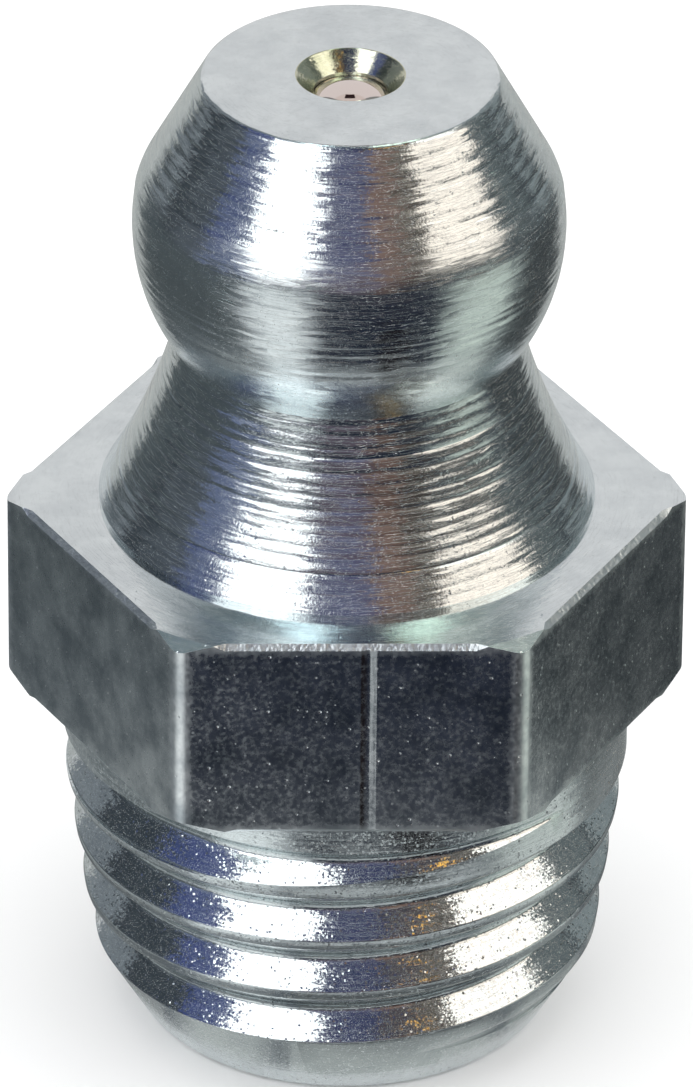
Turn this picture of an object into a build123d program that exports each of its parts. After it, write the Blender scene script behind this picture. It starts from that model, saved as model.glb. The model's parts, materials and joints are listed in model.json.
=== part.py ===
from build123d import *
import os
from math import cos, degrees, pi, radians, sin, sqrt, tan

# Straight hydraulic grease nipple with an M8 x 1 tapered thread.
# The origin is the centre of the foot face. +Z runs up the axis, through the shank, the hexagon
# and the neck, to the inlet in the nose of the ball head. Two corners of the hexagon lie on X.
# All lengths are in millimetres and all angles are in degrees.

os.makedirs("parts", exist_ok=True)

# ---- heights along the axis ----
shank_length = 5.5           # foot face to the underside of the hexagon
hexagon_height = 3.3
head_height = 7.2            # top of the hexagon to the nose face

# ---- shank and thread ----
foot_d = 6.33                # foot face, measured to its sharp edge
foot_edge_radius = 0.3
foot_chamfer_angle = 30.0    # from the axis
shank_d = 8.66               # crest diameter under the hexagon
shank_parallel_length = 1.1  # stretch under the hexagon that has no taper
taper_angle = 7.5            # from the axis
thread_pitch = 1.0
thread_depth = 0.55
thread_flank_angle = 60.0
thread_root_width = 0.16
thread_first_turn_z = 0.76   # where the groove starts, in the foot chamfer
thread_end_gap = 0.54        # from the end of the groove up to the hexagon
thread_start_azimuth = 260.0
thread_entry_height = 0.75   # height over which the groove sinks to its full depth
thread_runout_height = 0.28  # height over which it climbs out again
thread_tool_overrun = 0.12   # how far the cutter reaches outside the crest

# ---- hexagon ----
across_flats = 9.0
hexagon_chamfer_angle = 30.0
hexagon_top_chamfer_d = 9.86
hexagon_bottom_chamfer_d = 9.62

# ---- flare, neck and ball head ----
flare_base_d = 7.52
flare_base_step = 0.08       # short upright step where the flare meets the hexagon
flare_radius = 10.0
neck_d = 5.27
ball_head_d = 6.5
ball_head_drop = 2.5         # nose face to the centre of the ball head
nose_face_d = 4.41           # measured to its sharp edge
shoulder_rise = 0.77         # centre of the ball head up to the foot of the nose cone
nose_edge_radius = 0.12
shoulder_blend_radius = 0.8  # between the nose cone and the ball head

# ---- passage through the body ----
inlet_d = 1.63
inlet_cone_angle = 90.0
throat_d = 1.1
throat_length = 0.02
seat_cone_angle = 90.0
chamber_d = 2.4
lip_thickness = 0.35         # the rim rolled in under the spring
lip_hole_d = 1.2
lip_dish_d = 3.0             # the dish that the rolling tool leaves in the foot face
lip_dish_depth = 0.3

# ---- check ball and its spring ----
check_ball_d = 2.0
seat_clearance = 0.01
spring_wire_d = 0.25
spring_mean_d = 1.6
spring_pitch = 1.1
spring_closed_gap = 0.02     # between the closed turn at each end and the next
spring_clearance = 0.01      # at the ball and at the lip

# ---- levels worked out from the sizes above ----
hexagon_bottom_z = shank_length
hexagon_top_z = hexagon_bottom_z + hexagon_height
nose_z = hexagon_top_z + head_height
ball_head_z = nose_z - ball_head_drop
ball_head_r = ball_head_d / 2
shoulder_z = ball_head_z + shoulder_rise
shoulder_r = sqrt(ball_head_r**2 - shoulder_rise**2)
neck_r = neck_d / 2
neck_z = ball_head_z - sqrt(ball_head_r**2 - neck_r**2)
flare_base_z = hexagon_top_z + flare_base_step
taper_top_z = hexagon_bottom_z - shank_parallel_length


def crest_radius(z):
    """Radius over the thread crests at a height: parallel under the hexagon, tapered below."""
    return shank_d / 2 - max(0.0, taper_top_z - z) * tan(radians(taper_angle))


def turned_body():
    """The outside of the turned body, as a section spun about the axis."""
    chamfer_slope = tan(radians(foot_chamfer_angle))
    taper_slope = tan(radians(taper_angle))
    small_end_r = crest_radius(0.0)
    chamfer_top_z = (small_end_r - foot_d / 2) / (chamfer_slope - taper_slope)
    foot_edge = (foot_d / 2, 0)
    nose_edge = (nose_face_d / 2, nose_z)
    with BuildSketch(Plane.XZ) as section:
        with BuildLine():
            Polyline(
                (0, 0),
                foot_edge,
                (crest_radius(chamfer_top_z), chamfer_top_z),
                (shank_d / 2, taper_top_z),
                (shank_d / 2, hexagon_bottom_z),
                (flare_base_d / 2, hexagon_bottom_z),
                (flare_base_d / 2, flare_base_z),
            )
            RadiusArc((flare_base_d / 2, flare_base_z), (neck_r, neck_z), flare_radius)
            RadiusArc((neck_r, neck_z), (shoulder_r, shoulder_z), -ball_head_r)
            Polyline((shoulder_r, shoulder_z), nose_edge, (0, nose_z), (0, 0))
        make_face()
        rounded = (
            (foot_edge, foot_edge_radius),
            (nose_edge, nose_edge_radius),
            ((shoulder_r, shoulder_z), shoulder_blend_radius),
        )
        for (r, z), radius in rounded:
            corner = section.vertices().sort_by_distance((r, z))[0]
            fillet(corner, radius)
    return revolve(section.sketch, Axis.Z)


def hexagon():
    """The spanner hexagon, with the corners of both faces turned off to a cone."""
    corner_r = across_flats / 2 / cos(radians(30))
    slope = tan(radians(hexagon_chamfer_angle))
    top_drop = (corner_r - hexagon_top_chamfer_d / 2) * slope
    bottom_rise = (corner_r - hexagon_bottom_chamfer_d / 2) * slope
    prism = extrude(
        Plane.XY.offset(hexagon_bottom_z) * RegularPolygon(across_flats / 2, 6, major_radius=False),
        hexagon_height,
    )
    with BuildSketch(Plane.XZ) as envelope:
        with BuildLine():
            Polyline(
                (0, hexagon_bottom_z),
                (hexagon_bottom_chamfer_d / 2, hexagon_bottom_z),
                (corner_r, hexagon_bottom_z + bottom_rise),
                (corner_r, hexagon_top_z - top_drop),
                (hexagon_top_chamfer_d / 2, hexagon_top_z),
                (0, hexagon_top_z),
                close=True,
            )
        make_face()
    return prism & revolve(envelope.sketch, Axis.Z)


def groove_turns():
    """Turns of the thread groove between the foot chamfer and the gap under the hexagon."""
    return (hexagon_bottom_z - thread_end_gap - thread_first_turn_z) / thread_pitch


def groove_section(turn):
    """Corners of the V groove's section after a number of turns from its start, in order:
    lower root, upper root, upper rim and lower rim. It sinks in at the foot and climbs out
    under the hexagon."""
    azimuth = radians(thread_start_azimuth) + 2 * pi * turn
    z = thread_first_turn_z + thread_pitch * turn
    crest_r = crest_radius(z)
    rim_r = crest_r + thread_tool_overrun
    surface_r = min(crest_r, foot_d / 2 + z * tan(radians(foot_chamfer_angle)))
    clear_r = surface_r + thread_tool_overrun / 2
    entry = min(1.0, turn * thread_pitch / thread_entry_height)
    runout = min(1.0, (groove_turns() - turn) * thread_pitch / thread_runout_height)
    share = entry * (2 - entry) * runout
    root_r = clear_r + (crest_r - thread_depth - clear_r) * share
    root_half = thread_root_width / 2
    rim_half = root_half + (rim_r - root_r) * tan(radians(thread_flank_angle / 2))
    corners = (
        (root_r, z - root_half),
        (root_r, z + root_half),
        (rim_r, z + rim_half),
        (rim_r, z - rim_half),
    )
    return [(r * cos(azimuth), r * sin(azimuth), height) for r, height in corners]


def groove_stretch(first_turn, last_turn):
    """One stretch of the groove: a spline along each corner, ruled faces and two flat ends."""
    points_per_turn = 24
    steps = max(2, round((last_turn - first_turn) * points_per_turn))
    turns = [first_turn + (last_turn - first_turn) * step / steps for step in range(steps + 1)]
    sections = [groove_section(turn) for turn in turns]
    lines = [Spline([section[corner] for section in sections]) for corner in range(4)]
    faces = []
    for corner in range(4):
        faces.append(Face.make_surface_from_curves(lines[corner], lines[(corner + 1) % 4]))
    for section in (sections[0], sections[-1]):
        faces.append(Face(Wire.make_polygon(section)))
    return Solid(Shell(faces))


def thread_groove():
    """The whole groove: the entry, the full-depth turns and the run-out."""
    full_depth = thread_entry_height / thread_pitch
    climbing = groove_turns() - thread_runout_height / thread_pitch
    return [
        groove_stretch(0, full_depth),
        groove_stretch(full_depth, climbing),
        groove_stretch(climbing, groove_turns()),
    ]


def seat_bottom_z():
    """Height at which the seat cone has opened out to the chamber wall."""
    return throat_bottom_z() - (chamber_d - throat_d) / 2 / tan(radians(seat_cone_angle / 2))


def throat_bottom_z():
    inlet_depth = (inlet_d - throat_d) / 2 / tan(radians(inlet_cone_angle / 2))
    return nose_z - inlet_depth - throat_length


def lip_top_z():
    return lip_dish_depth + lip_thickness


def passage():
    """The way through: inlet countersink, throat, seat cone, chamber and rolled-in lip."""
    with BuildSketch(Plane.XZ) as section:
        with BuildLine():
            Polyline(
                (0, nose_z),
                (inlet_d / 2, nose_z),
                (throat_d / 2, throat_bottom_z() + throat_length),
                (throat_d / 2, throat_bottom_z()),
                (chamber_d / 2, seat_bottom_z()),
                (chamber_d / 2, lip_top_z()),
                (lip_hole_d / 2, lip_top_z()),
                (lip_hole_d / 2, lip_dish_depth),
                (lip_dish_d / 2, 0),
                (0, 0),
                close=True,
            )
        make_face()
    return revolve(section.sketch, Axis.Z)


def check_ball_z():
    """Height of the check ball's centre when it rests against the seat cone."""
    half_cone = radians(seat_cone_angle / 2)
    apex_z = throat_bottom_z() + throat_d / 2 / tan(half_cone)
    return apex_z - (check_ball_d / 2 + seat_clearance) / sin(half_cone)


def valve_spring():
    """A compression spring with one closed turn at each end, from the lip up to the ball."""
    wire_r = spring_wire_d / 2
    coil_r = spring_mean_d / 2
    bottom_z = lip_top_z() + wire_r + spring_clearance
    reach = check_ball_d / 2 + wire_r + spring_clearance
    top_z = check_ball_z() - sqrt(reach**2 - coil_r**2)
    closed_pitch = spring_wire_d + spring_closed_gap
    open_height = top_z - bottom_z - 2 * closed_pitch
    open_turns = round(open_height / spring_pitch)
    stretches = (
        (bottom_z, closed_pitch, closed_pitch),
        (bottom_z + closed_pitch, open_height, open_height / open_turns),
        (top_z - closed_pitch, closed_pitch, closed_pitch),
    )
    coils = []
    for start_z, height, pitch in stretches:
        coils += Helix(pitch, height, coil_r, center=(0, 0, start_z)).edges()
    path = Wire(coils)
    section = Plane(origin=path @ 0, z_dir=path % 0) * Circle(wire_r)
    return sweep(section, path, is_frenet=True, transition=Transition.ROUND)


nipple_body = turned_body() + hexagon() - passage()
for stretch in thread_groove():
    nipple_body -= stretch
check_ball = Pos(0, 0, check_ball_z()) * Sphere(check_ball_d / 2)

nodes = {
    "nipple_body": nipple_body,
    "check_ball": check_ball,
    "valve_spring": valve_spring(),
}
for name, solid in nodes.items():
    export_step(solid, f"parts/{name}.step")
    print(name, solid.is_valid, round(solid.volume, 3))
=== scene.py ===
# %% [markdown]
# # A grease nipple
#
# A grease nipple is screwed into a bearing housing, and a grease gun snaps onto its ball head. It is
# turned from hexagon bar, its thread is cut or rolled, and it is plated with zinc. Inside are a steel
# ball and a small spring, which let grease in and not out again.
#
# This script dresses the finished CAD model. It is written as a lesson: each step first says what
# the real thing is and how it could be modelled, and then does it.

# %% The frame
import json
import math
import random

import bmesh
import bpy
from mathutils import Matrix, Vector

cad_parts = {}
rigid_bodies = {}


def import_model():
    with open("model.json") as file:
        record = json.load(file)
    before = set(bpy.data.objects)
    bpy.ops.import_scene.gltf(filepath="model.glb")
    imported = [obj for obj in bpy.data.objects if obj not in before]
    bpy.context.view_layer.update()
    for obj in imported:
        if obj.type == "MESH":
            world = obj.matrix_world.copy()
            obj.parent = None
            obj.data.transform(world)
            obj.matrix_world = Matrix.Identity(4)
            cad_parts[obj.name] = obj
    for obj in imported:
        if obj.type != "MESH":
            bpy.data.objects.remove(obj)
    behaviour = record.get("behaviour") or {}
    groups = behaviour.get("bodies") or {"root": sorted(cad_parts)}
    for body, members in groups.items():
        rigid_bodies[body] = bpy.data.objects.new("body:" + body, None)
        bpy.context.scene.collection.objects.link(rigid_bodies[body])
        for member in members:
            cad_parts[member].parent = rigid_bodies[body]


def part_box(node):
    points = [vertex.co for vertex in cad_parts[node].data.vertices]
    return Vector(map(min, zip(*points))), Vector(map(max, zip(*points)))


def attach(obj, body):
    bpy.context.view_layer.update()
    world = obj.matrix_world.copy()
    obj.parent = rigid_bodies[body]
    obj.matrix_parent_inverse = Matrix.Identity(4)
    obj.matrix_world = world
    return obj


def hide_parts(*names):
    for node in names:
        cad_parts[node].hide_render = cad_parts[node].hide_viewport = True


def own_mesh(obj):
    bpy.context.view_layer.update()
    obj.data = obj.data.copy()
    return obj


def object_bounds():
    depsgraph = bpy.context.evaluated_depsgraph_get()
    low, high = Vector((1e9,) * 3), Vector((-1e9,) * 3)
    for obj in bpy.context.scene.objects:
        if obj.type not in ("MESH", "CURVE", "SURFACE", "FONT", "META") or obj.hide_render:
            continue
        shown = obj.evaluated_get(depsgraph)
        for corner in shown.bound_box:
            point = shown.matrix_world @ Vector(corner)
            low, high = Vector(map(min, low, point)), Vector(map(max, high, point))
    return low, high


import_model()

cad_low, cad_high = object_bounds()

# %% [markdown]
# ## Working in millimetres
#
# The part is 16 mm long, and its finest tool marks are hundredths of a millimetre deep. Blender and
# the frame work in metres. So every size below is in millimetres, each mesh is modelled at that
# size, and one function scales it to metres at the very end. That also keeps the numbers in a
# range that cutting one mesh with another likes.

# %% Millimetres and metres
MM = 0.001
length = (cad_high.z - cad_low.z) / MM
across_flats = (cad_high.y - cad_low.y) / MM
print(f"{length:.2f} mm long, {across_flats:.2f} mm across the flats")

# %% [markdown]
# ## The sizes of the body
#
# The body is a row of turned shapes on one axis, so a handful of diameters and heights fix it all.
# Heights are counted up from the foot face.

# %% The sizes of the body
foot_d, foot_edge_radius, foot_chamfer_angle = 6.33, 0.3, 30.0
shank_d, shank_parallel_z, taper_angle = 8.66, 4.4, 7.5
hexagon_bottom_z, hexagon_top_z = 5.5, 8.8
hexagon_chamfer_angle, hexagon_top_d, hexagon_bottom_d = 30.0, 9.86, 9.62
corner_d = across_flats / math.cos(math.radians(30))
flare_base_d, flare_base_z, flare_radius = 7.52, 8.88, 10.0
neck_d = 5.27
ball_head_d, ball_head_z = 6.5, length - 2.5
shoulder_rise, shoulder_radius = 0.77, 1.6
nose_d, nose_edge_radius = 4.41, 0.12
inlet_d, throat_d = 1.63, 1.1
chamber_d, seat_bottom_z = 2.4, length - 0.935
lip_top_z, lip_hole_d, lip_dish_d, lip_dish_depth = 0.65, 1.2, 3.0, 0.3

ball_head_r = ball_head_d / 2
neck_z = ball_head_z - math.sqrt(ball_head_r**2 - (neck_d / 2) ** 2)
shoulder_r = math.sqrt(ball_head_r**2 - shoulder_rise**2)
shoulder_z = ball_head_z + shoulder_rise
print(f"neck at {neck_z:.2f} mm, shoulder at {shoulder_z:.2f} mm, radius {shoulder_r:.2f} mm")

# %% [markdown]
# ## Drawing half a section
#
# A turned part is drawn as half of its section and spun about its axis. A section line is a list
# of (radius, height) points. Two small helpers draw it: one for the steps of an arc, and one that
# rounds a corner.

# %% Section helpers
def arc_points(centre, radius, start, end, steps):
    """Points on an arc of the section, from one angle to another in degrees."""
    points = []
    for step in range(steps + 1):
        angle = math.radians(start + (end - start) * step / steps)
        points.append(Vector(centre) + radius * Vector((math.cos(angle), math.sin(angle))))
    return points


def rounded_corner(before, corner, after, radius, steps=6):
    """Points on the rounding of a corner between two straight lines of the section."""
    before, corner, after = Vector(before), Vector(corner), Vector(after)
    back = (before - corner).normalized()
    onward = (after - corner).normalized()
    half = back.angle(onward) / 2
    reach = radius / math.tan(half)
    centre = corner + (back + onward).normalized() * radius / math.sin(half)
    points = []
    for step in range(steps + 1):
        share = step / steps
        chord = (corner + back * reach).lerp(corner + onward * reach, share)
        points.append(centre + (chord - centre).normalized() * radius)
    return points


print("a rounded corner has", len(rounded_corner((0, 0), (1, 0), (1, 1), 0.1)), "points")

# %% [markdown]
# ## Tool marks
#
# A lathe tool moves along the work by a small step, the feed, at each turn, and leaves a fine
# line at every step. On bright metal a line shows as a thin dark or light thread, because its two
# sides reflect other parts of the room, so the marks belong in the mesh. The first function below
# walks along a section line. The second presses a narrow notch into it at every feed. Feed and
# depth vary a little, as they do when a bar tool chatters.

# %% Tool marks
first_mark = 0.6  # how far in the first mark is, in feeds
feed_scatter = (0.75, 1.25)  # shortest and longest step, in feeds
longest_gap = 1.6  # longest stretch without a point, in spacings


def walk(points, distance):
    """The point at a distance along a section line, and the direction of the line there."""
    for before, after in zip(points, points[1:]):
        length_here = (after - before).length
        if distance <= length_here or after is points[-1]:
            return before.lerp(after, min(1.0, distance / length_here)), (after - before).normalized()
        distance -= length_here


def feed_marks(points, feed, width, depths, spacing, seed):
    """The section line with a notch pressed in at every feed, each as deep as chance says."""
    chance = random.Random(seed)
    total = sum((b - a).length for a, b in zip(points, points[1:]))
    marked = [(0.0, 0.0)]
    place = feed * first_mark
    while place < total - width:
        while place - marked[-1][0] > spacing * longest_gap:
            marked.append((marked[-1][0] + spacing, 0.0))
        marked += [(place - width / 2, 0.0), (place, chance.uniform(*depths)), (place + width / 2, 0.0)]
        place += feed * chance.uniform(*feed_scatter)
    line = []
    for distance, depth in marked + [(total, 0.0)]:
        point, along = walk(points, distance)
        line.append(point + Vector((-along.y, along.x)) * depth)
    return line


# a straight line 1 mm long, to see what the function does to it
print("marks in 1 mm:", len(feed_marks([Vector((0, 0)), Vector((0, 1))], 0.25, 0.05, (0.01, 0.01), 0.1, 1)))

# %% [markdown]
# ## Shank and hexagon
#
# The section runs up the outside from the foot to the nose. The shank has a rounded and chamfered
# foot, a slender taper and a short parallel stretch. The hexagon is only a disc with two chamfers
# so far: its flats are cut later, as the bar's own flats are what is left of it on the real part.

# %% Shank and hexagon
def slope_of(angle):
    """How far a line at an angle goes sideways for each millimetre along."""
    return math.tan(math.radians(angle))


def crest_radius(z):
    """Radius over the thread crests: parallel under the hexagon, and tapered below."""
    return shank_d / 2 - max(0.0, shank_parallel_z - z) * slope_of(taper_angle)


def shank_section():
    """From the foot face up to the hexagon."""
    slopes = slope_of(foot_chamfer_angle) - slope_of(taper_angle)
    chamfer_top_z = (crest_radius(0) - foot_d / 2) / slopes
    chamfer_top = (crest_radius(chamfer_top_z), chamfer_top_z)
    foot_edge = rounded_corner((0, 0), (foot_d / 2, 0), chamfer_top, foot_edge_radius)
    return foot_edge + [chamfer_top, (shank_d / 2, shank_parallel_z), (shank_d / 2, hexagon_bottom_z)]


def hexagon_section():
    """The disc that the hexagon is cut from."""
    slope = slope_of(hexagon_chamfer_angle)
    bottom_rise = (corner_d - hexagon_bottom_d) / 2 * slope
    top_drop = (corner_d - hexagon_top_d) / 2 * slope
    return [
        (hexagon_bottom_d / 2, hexagon_bottom_z),
        (corner_d / 2, hexagon_bottom_z + bottom_rise),
        (corner_d / 2, hexagon_top_z - top_drop),
        (hexagon_top_d / 2, hexagon_top_z),
        (flare_base_d / 2, hexagon_top_z),
    ]


print("points up to the flare:", len(shank_section() + hexagon_section()))

# %% [markdown]
# ## The flare
#
# The flare is one large arc, turned with a fine feed that wanders. The arc is drawn with close
# points, and the line keeps them only where there are marks.

# %% The flare
mark_spacing = 0.034
smooth_spacing = 0.07
flare_marks = {"feed": 0.19, "width": 0.055, "depths": (0.001, 0.008), "seed": 4}


def flare_section():
    """The flare, an arc that opens from the neck down to the hexagon."""
    base, neck = Vector((flare_base_d / 2, flare_base_z)), Vector((neck_d / 2, neck_z))
    middle, chord = (base + neck) / 2, neck - base
    outward = Vector((chord.y, -chord.x)).normalized()
    centre = middle + outward * math.sqrt(flare_radius**2 - (chord.length / 2) ** 2)
    start = math.degrees(math.atan2(*(base - centre).yx)) % 360
    end = math.degrees(math.atan2(*(neck - centre).yx)) % 360
    smooth = arc_points(centre, flare_radius, start, end, round(chord.length / mark_spacing))
    return feed_marks(smooth, spacing=smooth_spacing, **flare_marks)


print("points on the flare:", len(flare_section()))

# %% [markdown]
# ## Ball head and nose
#
# The ball head comes from a form tool, which leaves a few fine rings at fixed heights. The coned
# nose is turned with the widest feed. The shoulder between them is rounded.

# %% Ball head and nose
nose_marks = {"feed": 0.22, "width": 0.085, "depths": (0.005, 0.0115), "seed": 12}
ring_depths = {13.36: 0.006, 13.24: 0.010, 13.12: 0.014, 12.96: 0.008, 12.62: 0.005, 13.8: 0.004}
ring_width = 0.035
shoulder_trim = 0.18  # what the rounding of the shoulder takes off the top of the ball


def ball_section():
    """The ball head from the neck up to the shoulder, with a few fine rings from its tool."""
    start = math.degrees(math.asin((neck_z - ball_head_z) / ball_head_r))
    end = math.degrees(math.asin(shoulder_rise / ball_head_r))
    steps = round(math.radians(end - start) * ball_head_r / (smooth_spacing / 2))
    points = []
    for point in arc_points((0, ball_head_z), ball_head_r, start, end, steps):
        sunk = sum(d * math.exp(-(((point.y - z) / ring_width) ** 2)) for z, d in ring_depths.items())
        inward = (Vector((0, ball_head_z)) - point).normalized()
        points.append(point + inward * sunk)
    return points


def nose_section():
    """The coned nose above the shoulder, and the flat nose face in to the inlet."""
    shoulder, nose_edge = Vector((shoulder_r, shoulder_z)), Vector((nose_d / 2, length))
    tangent = Vector((shoulder_rise, -shoulder_r)).normalized()
    blend = rounded_corner(shoulder + tangent, shoulder, nose_edge, shoulder_radius, 8)
    edge = rounded_corner(shoulder, nose_edge, (0, length), nose_edge_radius)
    marked = feed_marks([blend[-1], edge[0]], spacing=smooth_spacing, **nose_marks)
    return blend[:-1] + marked[:-1] + edge


def outside_section():
    """The whole outside, from the foot to the inlet."""
    ball = [p for p in ball_section() if p.y < shoulder_z - shoulder_trim]
    return shank_section() + hexagon_section() + flare_section() + ball[1:] + nose_section()


print("points up the outside:", len(outside_section()))

# %% [markdown]
# ## The passage
#
# The way in is a small countersink and a throat. Under them a cone is the seat for the ball, and
# below it a long straight chamber holds the spring. At the foot the rim is rolled in to a lip that
# keeps the spring in, which leaves a dish in the foot face.

# %% The passage section
ball_low, ball_high = (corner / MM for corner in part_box("check_ball"))
ball_z, ball_r = (ball_low.z + ball_high.z) / 2, (ball_high.z - ball_low.z) / 2
seat_gap = 0.008
inlet_edge_radius = 0.04
seat_end = 46  # degrees up the ball, where the seat leaves it


def passage_section():
    """From the nose face down the inside to the foot face."""
    inlet_edge = (inlet_d / 2, length)
    throat_top = (throat_d / 2, length - (inlet_d - throat_d) / 2)
    countersink = rounded_corner((nose_d / 2, length), inlet_edge, throat_top, inlet_edge_radius, 4)
    seat_r = ball_r + seat_gap
    seat_start = math.degrees(math.acos(throat_d / 2 / seat_r))
    seat = arc_points((0, ball_z), seat_r, seat_start, seat_end, 4)
    return countersink + [
        throat_top,
        *seat,
        (chamber_d / 2, seat_bottom_z),
        (chamber_d / 2, lip_top_z),
        (lip_hole_d / 2, lip_top_z),
        (lip_hole_d / 2, lip_dish_depth),
        (lip_dish_d / 2, 0),
    ]


print("points down the inside:", len(passage_section()))

# %% [markdown]
# ## Turning the blank
#
# Outside and passage together make one closed line, so the spin gives a closed skin with no pole.
# A full spin merges its last ring with its first. Its normals are worked out afresh, because a
# spin can come out inside out.

# %% Turning the blank
segments = 192
same_place = 1e-5  # points closer than this are one
near = 1e-4  # looser, for points beside a plane and after a Boolean


def turned_mesh(section):
    """A closed section line spun once about Z."""
    made = bmesh.new()
    corners = [made.verts.new((r, 0, z)) for r, z in section]
    lines = [made.edges.new((a, b)) for a, b in zip(corners, corners[1:] + corners[:1])]
    bmesh.ops.spin(
        made, geom=corners + lines, cent=(0, 0, 0), axis=(0, 0, 1),
        angle=2 * math.pi, steps=segments, use_merge=True,
    )
    bmesh.ops.remove_doubles(made, verts=made.verts, dist=same_place)
    bmesh.ops.recalc_face_normals(made, faces=made.faces)
    return made


body = turned_mesh(outside_section() + passage_section())
print("blank:", len(body.faces), "faces")

# %% [markdown]
# ## Which finish goes where
#
# One piece of steel has several finishes: the faced flats are matt, the turned cones are bright,
# the drawn flats of the bar are streaky, the thread is glossy from its rollers. Each face of the
# mesh gets the number of its finish while the blank is still simple, by its height and slope.

# %% Which finish goes where
FINISHES = ["faced", "turned", "formed", "drawn", "crest", "flank", "chamfer", "bore", "rim"]
slack = 0.01
cone_start_z = shoulder_z + 0.22
crest_start_z = shank_parallel_z - 3
crest_skin = 0.05


def finish_of(face):
    """The finish of a face of the blank, from where it is and which way it points."""
    centre, up = face.calc_center_median(), face.normal.z
    radius = centre.xy.length
    outward = face.normal.xy.dot(centre.xy) > 0
    inside = radius < chamber_d / 2 + slack or (radius < lip_dish_d / 2 and centre.z < lip_top_z)
    if radius < nose_d / 2 and centre.z > length - 0.001:
        return "faced"
    if inside or (radius < inlet_d / 2 and centre.z > length - 1):
        return "bore"
    if centre.z > cone_start_z:
        return "turned" if up < 0.95 else "faced"
    if centre.z > neck_z:
        return "formed"
    if centre.z > hexagon_top_z + slack and outward:
        return "turned"
    if centre.z > hexagon_bottom_z - slack:
        return "faced"
    if centre.z > crest_start_z and up < 0.5 and radius > crest_radius(centre.z) - crest_skin:
        return "crest"
    return "chamfer"


for face in body.faces:
    face.material_index = FINISHES.index(finish_of(face))
    face.smooth = True
print({name: sum(f.material_index == i for f in body.faces) for i, name in enumerate(FINISHES)})

# %% [markdown]
# ## The flats of the hexagon
#
# The real bar is drawn through a die, so its corners are a little round and its flats carry
# lengthwise streaks. Each flat is made by cutting the disc with a plane and closing the hole. A
# rounded corner is cut in the same way, by a few planes that touch the rounding.

# %% The flats of the hexagon
corner_radius = 0.3
corner_cuts = (-25, -15, -5, 5, 15, 25)


def cut_flat(mesh, azimuth, distance, finish):
    """Cuts off what is further out than a distance in one direction, and closes the cut."""
    out = Vector((math.cos(math.radians(azimuth)), math.sin(math.radians(azimuth)), 0))
    cut = bmesh.ops.bisect_plane(
        mesh, geom=mesh.verts[:] + mesh.edges[:] + mesh.faces[:], dist=same_place,
        plane_co=out * distance, plane_no=out, clear_outer=True,
    )
    rim = [item for item in cut["geom_cut"] if isinstance(item, bmesh.types.BMEdge)]
    filled = bmesh.ops.contextual_create(mesh, geom=rim)
    for face in filled["faces"]:
        face.material_index = FINISHES.index(finish)
        face.smooth = True
        face.normal_update()
        if face.normal.dot(out) < 0:
            face.normal_flip()
    return filled["faces"]


for side in range(6):
    cut_flat(body, 90 + 60 * side, across_flats / 2, "drawn")
rounding_centre = (across_flats / 2 - corner_radius) / math.cos(math.radians(30))
for corner in range(6):
    for turn in corner_cuts:
        reach = rounding_centre * math.cos(math.radians(turn)) + corner_radius
        cut_flat(body, 60 * corner + turn, reach, "drawn")
print("with its flats:", len(body.faces), "faces")

# %% [markdown]
# ## The rims of the hexagon
#
# The two rims are sharp from the lathe, and the barrel rubs them a little. Only edges between a
# drawn flat and a turned face at one of the two heights are bevelled.

# %% The rims of the hexagon
rim_bevel = 0.08
rims = [
    edge for edge in body.edges
    if {FINISHES[face.material_index] for face in edge.link_faces} == {"drawn", "faced"}
    and any(all(abs(v.co.z - z) < near for v in edge.verts) for z in (hexagon_bottom_z, hexagon_top_z))
]
bevelled = bmesh.ops.bevel(
    body, geom=rims, affect="EDGES", offset=rim_bevel, segments=1, profile=0.5, material=-1,
)
for face in bevelled["faces"]:
    face.material_index = FINISHES.index("rim")
print("bevelled rims:", len(rims), "open edges:", sum(e.is_boundary for e in body.edges))

# %% [markdown]
# ## The seam in the front flat
#
# A drawn bar often carries a fine lengthwise seam, where the die had a nick. A row of cuts across
# the front flat gives the lines of a shallow notch, and all but the outer two are pushed in. A line
# close to each edge keeps the whole wall in one shade.

# %% The seam
seam_x = 0.27
seam_depths = {-0.12: 0.0, -0.11: 0.003, -0.01: 0.0298, 0.01: 0.0298, 0.12: 0.0023, 0.13: 0.0}
front_y = -across_flats / 2
for offset in seam_depths:
    front = [f for f in body.faces if all(v.co.y < front_y + near for v in f.verts)]
    around = {item for f in front for item in (*f.verts, *f.edges, f)}
    bmesh.ops.bisect_plane(
        body, geom=list(around), dist=same_place,
        plane_co=(seam_x + offset, 0, 0), plane_no=(1, 0, 0),
    )
for offset, depth in seam_depths.items():
    line = [
        v for v in body.verts
        if abs(v.co.x - seam_x - offset) < near and v.co.y < front_y + near
    ]
    bmesh.ops.translate(body, vec=(0, depth, 0), verts=line)
    print(f"line at {seam_x + offset:.2f} mm: {len(line)} points pushed in by {depth} mm")

# %% [markdown]
# ## Meshes into objects
#
# Every piece is turned into an object by the same function, which also scales it to metres. An
# object then sits at the origin, unturned, with its place in its mesh, as the CAD nodes do.

# %% Meshes into objects
sharp_angle = math.radians(28)


def make_object(name, mesh, scale=MM):
    """An object from a bmesh, which is freed. Edges sharper than one angle stay crisp."""
    bmesh.ops.scale(mesh, vec=(scale, scale, scale), verts=mesh.verts)
    data = bpy.data.meshes.new(name)
    mesh.to_mesh(data)
    mesh.free()
    data.set_sharp_from_angle(angle=sharp_angle)
    made = bpy.data.objects.new(name, data)
    bpy.context.scene.collection.objects.link(made)
    return made


blank = make_object("blank", body, scale=1)
print("blank object:", len(blank.data.polygons), "faces")

# %% [markdown]
# ## The thread
#
# The thread is M8 x 1 on a slender cone, so that it wedges tight in its hole. It is a groove of
# one V-shaped section that winds up the shank, with a round root and softened crests. Half of the
# section is enough, as the other half is its mirror image.

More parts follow.
